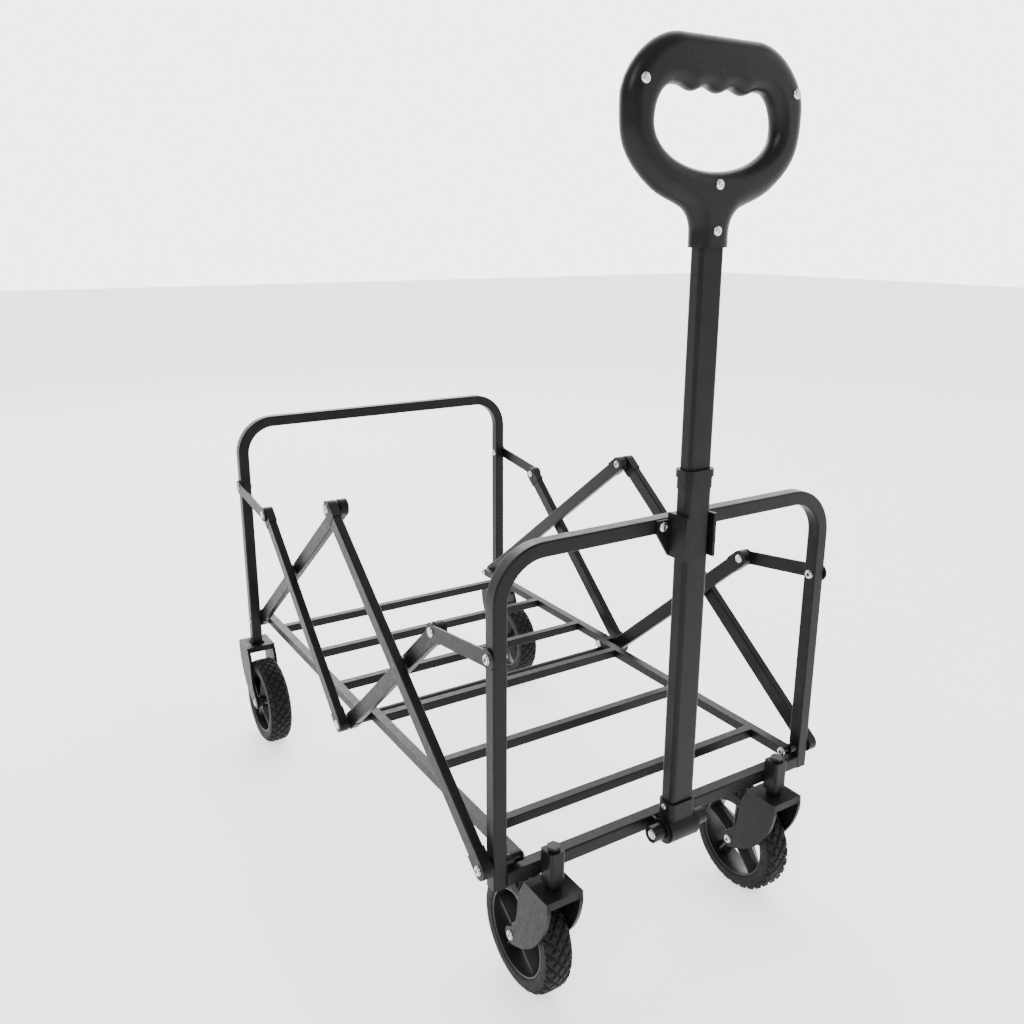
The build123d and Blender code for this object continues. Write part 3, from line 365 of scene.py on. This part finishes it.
def make_rim(end, side):
    """Rim with a dished barrel, a stepped hub and ridged spokes, in place of the plain CAD one."""
    node = end + "_rim_" + side
    low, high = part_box(node)
    centre = middle_of(node)
    hub_half = (high[0] - low[0]) / 2
    outer = (high[2] - low[2]) / 2
    lip = hub_half - LIP_INSET
    vertices, faces = [], []
    barrel = [
        (-lip, outer - 0.6 * MM), (-lip + 0.6 * MM, outer), (lip - 0.6 * MM, outer), (lip, outer - 0.6 * MM),
        (lip, outer - 2.0 * MM), (lip - 0.6 * MM, outer - 2.6 * MM), (lip - 3.0 * MM, outer - 2.9 * MM),
        (0.0, outer - 4.0 * MM), (-lip + 3.0 * MM, outer - 2.9 * MM), (-lip + 0.6 * MM, outer - 2.6 * MM),
        (-lip, outer - 2.0 * MM)]
    hub = [
        (-hub_half, BORE_R), (-hub_half, HUB_R - 3.6 * MM), (-hub_half + 0.5 * MM, HUB_R - 3.0 * MM),
        (-hub_half + 3.0 * MM, HUB_R - 2.6 * MM), (-hub_half + 4.0 * MM, HUB_R),
        (hub_half - 4.0 * MM, HUB_R), (hub_half - 3.0 * MM, HUB_R - 2.6 * MM),
        (hub_half - 0.5 * MM, HUB_R - 3.0 * MM), (hub_half, HUB_R - 3.6 * MM), (hub_half, BORE_R)]
    lathe(vertices, faces, centre, barrel, RIM_STEPS)
    lathe(vertices, faces, centre, hub, HUB_STEPS)
    for k in range(SPOKES):
        angle = math.pi / 2 + 2 * math.pi * k / SPOKES
        spoke_solid(vertices, faces, centre, angle,
                    (HUB_R - 3.0 * MM, 5.0 * MM, 15.0 * MM, 4.0 * MM),
                    (outer - 2.6 * MM, 9.0 * MM, 10.0 * MM, 3.0 * MM))
    made = piece("rim_" + end + "_" + side, BODY_OF[node], "rim", vertices, faces,
                 smooth=30.0)
    soften(made, RIM_EDGE)
    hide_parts(node)


for end_name in ("front", "rear"):
    for side_name in ("left", "right"):
        make_tyre(end_name, side_name)
        make_rim(end_name, side_name)


# ---------------------------------------------------------------- rivet heads
WELD = 0.001 * MM         # corners closer than this are one
HEAD_STEPS = 32
HEAD_SMOOTH = 35.0
HEAD_R, HEAD_HEIGHT = 5.3 * MM, 1.9 * MM
ROD_HEAD_R = 6.3 * MM
SCREW_R, SCREW_HEIGHT = 4.6 * MM, 1.8 * MM
# Shares of the head's radius and height, from inside the pin over the dome down into the dimple.
HEAD_PROFILE = ((1.0, -0.6), (1.03, 0.15), (1.0, 0.55), (0.86, 0.92), (0.66, 1.14), (0.47, 1.20),
                (0.42, 1.12), (0.34, 0.45), (0.0, 0.30))


def islands(node):
    """Boxes (low, high) of the separate solids of a CAD node."""
    built = bmesh.new()
    built.from_mesh(NODES[node].data)
    bmesh.ops.remove_doubles(built, verts=built.verts, dist=WELD)
    built.verts.ensure_lookup_table()
    seen, found = set(), []
    for vertex in built.verts:
        if vertex.index in seen:
            continue
        stack, group = [vertex], []
        seen.add(vertex.index)
        while stack:
            here = stack.pop()
            group.append(here.co.copy())
            for edge in here.link_edges:
                other = edge.other_vert(here)
                if other.index not in seen:
                    seen.add(other.index)
                    stack.append(other)
        low = Vector([min(p[k] for p in group) for k in range(3)])
        high = Vector([max(p[k] for p in group) for k in range(3)])
        found.append((low, high))
    built.free()
    return found


def domed_head(vertices, faces, tip, outward, radius, height):
    """Adds a turned rivet head with a dimple over a plain head whose top centre is tip."""
    side = Vector((0, 0, 1))
    other = outward.cross(side)
    start = len(vertices)
    for share, level in HEAD_PROFILE[:-1]:
        for k in range(HEAD_STEPS):
            angle = 2 * math.pi * k / HEAD_STEPS
            rim = side * math.cos(angle) + other * math.sin(angle)
            vertices.append(tip + rim * (radius * share) + outward * (height * (level - 1.0)))
    rows = len(HEAD_PROFILE) - 1
    faces += [tuple(start + k for k in face) for face in ring_faces(rows, HEAD_STEPS, wrap_rows=False)]
    last = start + (rows - 1) * HEAD_STEPS
    vertices.append(tip + outward * (height * (HEAD_PROFILE[-1][1] - 1.0)))
    centre = len(vertices) - 1
    faces += [(last + k, last + (k + 1) % HEAD_STEPS, centre) for k in range(HEAD_STEPS)]
    faces.append(tuple(start + k for k in reversed(range(HEAD_STEPS))))


def make_side_heads(node, ends, radius, height):
    """Dimpled zinc heads on pins along X, at their outer (1) and inner (-1) ends."""
    vertices, faces = [], []
    for low, high in islands(node):
        middle = (low + high) / 2
        for end in ends:
            outward = 1.0 if end * middle.x > 0 else -1.0
            tip = Vector((high.x if outward > 0 else low.x, middle.y, middle.z))
            domed_head(vertices, faces, tip, Vector((outward, 0, 0)), radius, height)
    piece(node + "_heads", BODY_OF[node], "zinc", vertices, faces, HEAD_SMOOTH)


def make_front_heads(node, radius, height):
    """Dimpled zinc heads on screws and rivets along Y, at their front ends."""
    vertices, faces = [], []
    for low, high in islands(node):
        middle = (low + high) / 2
        tip = Vector((middle.x, low.y, middle.z))
        domed_head(vertices, faces, tip, Vector((0, -1, 0)), radius, height)
    piece(node + "_heads", BODY_OF[node], "zinc", vertices, faces, HEAD_SMOOTH)


for pinned in ("rear_foot_pins", "rear_strap_pins", "front_foot_pins", "front_strap_pins", "peak_pins"):
    make_side_heads(pinned, (1, -1), HEAD_R, HEAD_HEIGHT)
for riveted in ("tie_strap_rear_rivets", "tie_strap_front_rivets"):
    make_side_heads(riveted, (1,), HEAD_R, HEAD_HEIGHT)
make_side_heads("cross_rod_rivets", (1,), ROD_HEAD_R, HEAD_HEIGHT)
for riveted in ("short_brace_rear_rivets", "short_brace_front_rivets", "floor_hinge_rivets"):
    make_side_heads(riveted, (-1,), HEAD_R, HEAD_HEIGHT)
for wheeled in ("rear_axle_pins", "caster_axle_left", "caster_axle_right"):
    make_side_heads(wheeled, (1, -1), HEAD_R, HEAD_HEIGHT)
make_front_heads("clip_rivets", HEAD_R, HEAD_HEIGHT)
make_front_heads("grip_screws", SCREW_R, SCREW_HEIGHT)


# ---------------------------------------------------------------- grip
GRIP_LOW, GRIP_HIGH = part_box("handle_grip_front")
PARTING = GRIP_HIGH[1]
THICK = GRIP_HIGH[1] - GRIP_LOW[1]
BOTTOM, TOP, WIDE = GRIP_LOW[2], GRIP_HIGH[2], GRIP_HIGH[0]
NECK, NECK_BEND, NECK_TURN = 21.5 * MM, 24.0 * MM, math.radians(65)
TOP_FLAT = 46.0 * MM
NECK_HEIGHT = 14.0 * MM
LOWER_POINT = np.array((WIDE - 35.0 * MM, BOTTOM + 53.0 * MM))
UPPER_POINT = np.array((WIDE - 6.0 * MM, BOTTOM + 84.0 * MM))
WIDEST_POINT = np.array((WIDE, TOP - 57.0 * MM))
TOP_CORNER_PULL = 1.45    # fullness of the upper corner
HOLE_WIDE, HOLE_TOP, HOLE_BOTTOM, HOLE_CORNER = 74.5 * MM, TOP - 43.5 * MM, BOTTOM + 68.0 * MM, 22.0 * MM
HOLE_SIDE_Z = HOLE_BOTTOM + 0.56 * (HOLE_TOP - HOLE_BOTTOM)    # height at which the hole is widest
FINGER_PITCH, FINGER_DEPTH = 31.0 * MM, 4.2 * MM
FINGER_REACH = 1.5 * FINGER_PITCH
ROUND_OUTER, ROUND_HOLE = 15.0 * MM, 13.0 * MM    # widths of the two roundings
ROUND_POWER = 2.2
LEVELS = 30               # rings from the outline to the hole, closer together near both
SEAM = 0.05 * MM          # from each half to the parting face
SEARCH_REACH, SEARCH_STEPS = 0.2, 40    # farthest hole edge, in metres, and halvings that find it


def hermite(start, end, leave, arrive, steps):
    """Points of a cubic from start to end, without its last point."""
    found = []
    for k in range(steps):
        t = k / steps
        found.append(start * (2 * t**3 - 3 * t**2 + 1) + leave * (t**3 - 2 * t**2 + t)
                     + end * (-2 * t**3 + 3 * t**2) + arrive * (t**3 - t**2))
    return found


def half_outline():
    """Right half of the grip's outline as (x, z), from the neck's lower corner to the top's middle."""
    neck = np.array((NECK, BOTTOM + NECK_HEIGHT))
    found = [np.array((NECK, BOTTOM + share * NECK_HEIGHT)) for share in np.linspace(0, 1, 7)[:-1]]
    centre = neck + np.array((NECK_BEND, 0))
    for share in np.linspace(0, 1, 13):
        turn = share * NECK_TURN
        found.append(centre + NECK_BEND * np.array((-math.cos(turn), math.sin(turn))))
    shoulder = found.pop()
    top = np.array((TOP_FLAT, TOP))
    length = np.linalg.norm
    leave = np.array((math.sin(NECK_TURN), math.cos(NECK_TURN))) * length(LOWER_POINT - shoulder)
    at_lower = (UPPER_POINT - shoulder) * 0.55
    at_upper = (WIDEST_POINT - LOWER_POINT) * 0.5
    arrive = np.array((0, 1)) * length(WIDEST_POINT - UPPER_POINT)
    upward = np.array((0, TOP_CORNER_PULL * (top[1] - WIDEST_POINT[1])))
    inward = np.array((-TOP_CORNER_PULL * (WIDEST_POINT[0] - top[0]), 0))
    found += hermite(shoulder, LOWER_POINT, leave, at_lower, 14)
    found += hermite(LOWER_POINT, UPPER_POINT, at_lower, at_upper, 14)
    found += hermite(UPPER_POINT, WIDEST_POINT, at_upper, arrive, 14)
    found += hermite(WIDEST_POINT, top, upward, inward, 30)
    found += [np.array((TOP_FLAT * share, TOP)) for share in np.linspace(1, 0, 15)]
    return found


def under_roof(x, z):
    """Whether a point lies in the hole's upper half; x and z are from the middle, x to the side."""
    corner = HOLE_WIDE - HOLE_CORNER
    roof = HOLE_TOP - HOLE_SIDE_Z
    if x > corner:
        return ((x - corner) / HOLE_CORNER) ** 2 + (z / roof) ** 2 < 1
    wave = FINGER_DEPTH * math.cos(math.pi * x / FINGER_PITCH) ** 2 if x < FINGER_REACH else 0.0
    return z < roof - wave


def hole_edge(angle):
    """Point (x, z) of the hand hole's edge in a direction from its middle."""
    c, s = math.cos(angle), math.sin(angle)
    if s <= 0:
        r = 1 / math.hypot(c / HOLE_WIDE, s / (HOLE_SIDE_Z - HOLE_BOTTOM))
        return np.array((c * r, HOLE_SIDE_Z + s * r))
    low, high = 0.0, SEARCH_REACH
    for _ in range(SEARCH_STEPS):
        r = (low + high) / 2
        low, high = (r, high) if under_roof(abs(c) * r, s * r) else (low, r)
    return np.array((c * low, HOLE_SIDE_Z + s * low))


def distance(point, line):
    """Shortest distance from a point to a polyline."""
    a, b = line[:-1], line[1:]
    along = b - a
    t = np.clip(((point - a) * along).sum(1) / (along * along).sum(1), 0, 1)
    return np.sqrt((((a + along * t[:, None]) - point) ** 2).sum(1)).min()


def swell(near, width):
    """Share of the full thickness at a distance from an edge that is rounded over a width."""
    return math.sqrt(max(1 - (1 - min(near / width, 1.0)) ** ROUND_POWER, 0))


def make_grip(node, direction):
    """One half of the grip: a rounded D, thinner towards its outline and the hand hole."""
    right = half_outline()
    left = [np.array((-p[0], p[1])) for p in right]
    outer = right + left[:-1][::-1]
    bottom_run = [np.array((x, BOTTOM)) for x in np.linspace(-NECK, NECK, 17)[1:-1]]
    loop = outer + bottom_run
    edge_line = np.array(outer)
    hole_line = np.array([hole_edge(a) for a in np.linspace(-math.pi, math.pi, 361)])
    levels = 0.5 - 0.5 * np.cos(np.linspace(0, math.pi, LEVELS))
    vertices = []
    for p in loop:
        q = hole_edge(math.atan2(p[1] - HOLE_SIDE_Z, p[0]))
        for level in levels:
            here = p + (q - p) * level
            depth = THICK * swell(distance(here, edge_line), ROUND_OUTER)
            depth *= swell(distance(here, hole_line), ROUND_HOLE)
            vertices.append((here[0], PARTING + direction * depth, here[1]))
    rows, columns = len(loop), len(levels)
    faces = ring_faces(rows, columns, wrap_columns=False)
    back = len(vertices)
    vertices += [(x, PARTING + direction * SEAM, z) for x, _, z in vertices]
    faces += [tuple(back + k for k in reversed(face)) for face in faces]
    for i in range(rows):
        j = (i + 1) % rows
        for column in (0, columns - 1):
            faces.append((i * columns + column, j * columns + column, back + j * columns + column,
                          back + i * columns + column))
    made = piece(node + "_shell", BODY_OF[node], "grip", vertices, faces, smooth=60.0)
    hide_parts(node)


DOT_PITCH, DOT_R = 7.1 * MM, 1.05 * MM
DOT_TOP = TOP - 4.5 * MM
DOTS_ACROSS, DOT_ROWS = 13, 5


def maths(tree, operation, first, second=0.0):
    """The result of one operation on two values, each a socket or a number."""
    node = tree.nodes.new("ShaderNodeMath")
    node.operation = operation
    for socket, value in zip(node.inputs, (first, second)):
        if isinstance(value, (int, float)):
            socket.default_value = value
        else:
            tree.links.new(value, socket)
    return node.outputs[0]


def dots(tree):
    """1 in a field of round dimples below the grip's top edge, 0 around them; it places both the pits' bumps
    and their painted shade.
    """
    coords = tree.nodes.new("ShaderNodeTexCoord")
    parts = tree.nodes.new("ShaderNodeSeparateXYZ")
    tree.links.new(coords.outputs["Object"], parts.inputs["Vector"])
    x = maths(tree, "DIVIDE", parts.outputs["X"], DOT_PITCH)
    z = maths(tree, "DIVIDE", maths(tree, "SUBTRACT", DOT_TOP, parts.outputs["Z"]), DOT_PITCH)
    off_x = maths(tree, "SUBTRACT", x, maths(tree, "ROUND", x))
    off_z = maths(tree, "SUBTRACT", z, maths(tree, "ROUND", z))
    away = maths(tree, "SQRT", maths(tree, "ADD", maths(tree, "MULTIPLY", off_x, off_x),
                                     maths(tree, "MULTIPLY", off_z, off_z)))
    inside = maths(tree, "LESS_THAN", away, DOT_R / DOT_PITCH)
    across = maths(tree, "LESS_THAN", maths(tree, "ABSOLUTE", x), DOTS_ACROSS / 2)
    below = maths(tree, "GREATER_THAN", z, -0.5)
    above = maths(tree, "LESS_THAN", z, DOT_ROWS - 0.5)
    field = maths(tree, "MULTIPLY", across, maths(tree, "MULTIPLY", below, above))
    return maths(tree, "MULTIPLY", inside, field)


def grip_plastic():
    """Moulded plastic with rows of small round dimples on the upper front face, their insides coloured near
    black as painted shade.
    """
    made, tree, shader = material("grip_plastic")
    dimple_and_pit_shade = dots(tree)
    mix = tree.nodes.new("ShaderNodeMix")
    mix.data_type = "RGBA"
    tree.links.new(dimple_and_pit_shade, mix.inputs["Factor"])
    tree.links.new(clouded(tree, *BLACK_PLASTIC), mix.inputs["A"])
    # painted shade: near black inside the dimples, far darker than the plastic's own tone
    mix.inputs["B"].default_value = (0.0006, 0.0006, 0.0006, 1.0)
    tree.links.new(mix.outputs["Result"], shader.inputs["Base Color"])
    tree.links.new(spread(tree, noise(tree, GLOSS_SCALE, 3.0), 0.30, 0.42), shader.inputs["Roughness"])
    shader.inputs["Specular IOR Level"].default_value = 0.16
    pits = maths(tree, "SUBTRACT", 1.0, dimple_and_pit_shade)
    bump(tree, shader, [(noise(tree, 150.0, 1.0), 0.05, PEEL_DEPTH), (pits, 0.8, PIT_DEPTH),
                        (noise(tree, 2600.0, 2.0), 0.16, GRAIN_DEPTH)])
    return made


FINISH["grip"] = grip_plastic()
make_grip("handle_grip_front", -1)
make_grip("handle_grip_back", 1)


# ---------------------------------------------------------------- floor, light and camera
BACKDROP_SIDE = (0.53, 0.85, 0.0)     # the bright backdrop stands behind the wagon
BACKDROP_FROM, BACKDROP_TO = 0.1, 0.6    # where the backdrop starts and where it is at its brightest
BACK_LIGHT, FRONT_LIGHT, FLOOR_GLOW = 4.5, 0.6, 1.2
FLOOR_REACH = 14.0
LIGHT_TARGET = (0.0, 0.0, 0.4)
LIGHTS = (                            # name, place, size, watts
    ("key", (-2.2, -1.8, 3.0), 1.6, 70.0),
    ("fill", (2.8, -2.4, 1.8), 2.4, 30.0),
    ("back", (0.8, 3.2, 2.6), 2.0, 90.0),
)
CAMERA_PLACE = (-0.6487, -1.0761, 0.8083)
HEADING, PITCH, ROLL = 0.56, 0.2698, 0.0028    # radians
FOCAL_LENGTH, SENSOR_WIDTH = 33.45, 36.0       # millimetres
SHIFT_X, SHIFT_Y = -0.0003, -0.0167


def area_light(name, place, size, power):
    """Round lamp that faces the wagon."""
    light = bpy.data.lights.new(name, "AREA")
    light.shape = "DISK"
    light.size = size
    light.energy = power
    made = bpy.data.objects.new(name, light)
    made.location = place
    made.rotation_euler = (Vector(LIGHT_TARGET) - Vector(place)).to_track_quat("-Z", "Y").to_euler()
    bpy.context.scene.collection.objects.link(made)


def make_stage():
    """White floor that glows a little, and a studio that is bright behind the wagon and soft in front."""
    mesh = bpy.data.meshes.new("studio_floor")
    corners = [(x * FLOOR_REACH, y * FLOOR_REACH, 0) for x, y in ((-1, -1), (1, -1), (1, 1), (-1, 1))]
    mesh.from_pydata(corners, [], [(0, 1, 2, 3)])
    ground = bpy.data.objects.new("studio_floor", mesh)
    bpy.context.scene.collection.objects.link(ground)
    made, tree, shader = material("studio_white")
    tree.links.new(two_tone(tree, noise(tree, 3.0, 2.0), (0.86, 0.86, 0.86), (0.90, 0.90, 0.90)),
                   shader.inputs["Base Color"])
    shader.inputs["Roughness"].default_value = 0.9
    shader.inputs["Emission Color"].default_value = (1.0, 1.0, 1.0, 1.0)
    shader.inputs["Emission Strength"].default_value = FLOOR_GLOW
    ground.data.materials.append(made)
    world = bpy.data.worlds.new("studio")
    bpy.context.scene.world = world
    world.use_nodes = True
    tree = world.node_tree
    background = tree.nodes["Background"]
    background.inputs["Color"].default_value = (1.0, 1.0, 1.0, 1.0)
    coords = tree.nodes.new("ShaderNodeTexCoord")
    toward = tree.nodes.new("ShaderNodeVectorMath")
    toward.operation = "DOT_PRODUCT"
    toward.inputs[1].default_value = BACKDROP_SIDE
    tree.links.new(coords.outputs["Generated"], toward.inputs[0])
    level = add(tree, "ShaderNodeMapRange", From_Min=BACKDROP_FROM, From_Max=BACKDROP_TO,
                To_Min=FRONT_LIGHT, To_Max=BACK_LIGHT)
    tree.links.new(toward.outputs["Value"], level.inputs["Value"])
    tree.links.new(level.outputs["Result"], background.inputs["Strength"])


def make_camera():
    """Camera at the photograph's angle: heading 32 degrees right of the length, 15.5 degrees down."""
    forward = Vector((math.cos(PITCH) * math.sin(HEADING), math.cos(PITCH) * math.cos(HEADING),
                      -math.sin(PITCH)))
    level = Vector((math.cos(HEADING), -math.sin(HEADING), 0))
    upward = level.cross(forward)
    right = level * math.cos(ROLL) + upward * math.sin(ROLL)
    upward = upward * math.cos(ROLL) - level * math.sin(ROLL)
    lens = bpy.data.cameras.new("camera")
    lens.lens = FOCAL_LENGTH
    lens.sensor_width = SENSOR_WIDTH
    lens.shift_x = SHIFT_X
    lens.shift_y = SHIFT_Y
    lens.clip_start = 0.05
    lens.clip_end = 60.0
    made = bpy.data.objects.new("camera", lens)
    turn = Matrix((right, upward, -forward)).transposed().to_4x4()
    made.matrix_world = Matrix.Translation(CAMERA_PLACE) @ turn
    bpy.context.scene.collection.objects.link(made)
    bpy.context.scene.camera = made


make_stage()
for lamp in LIGHTS:
    area_light(*lamp)
make_camera()
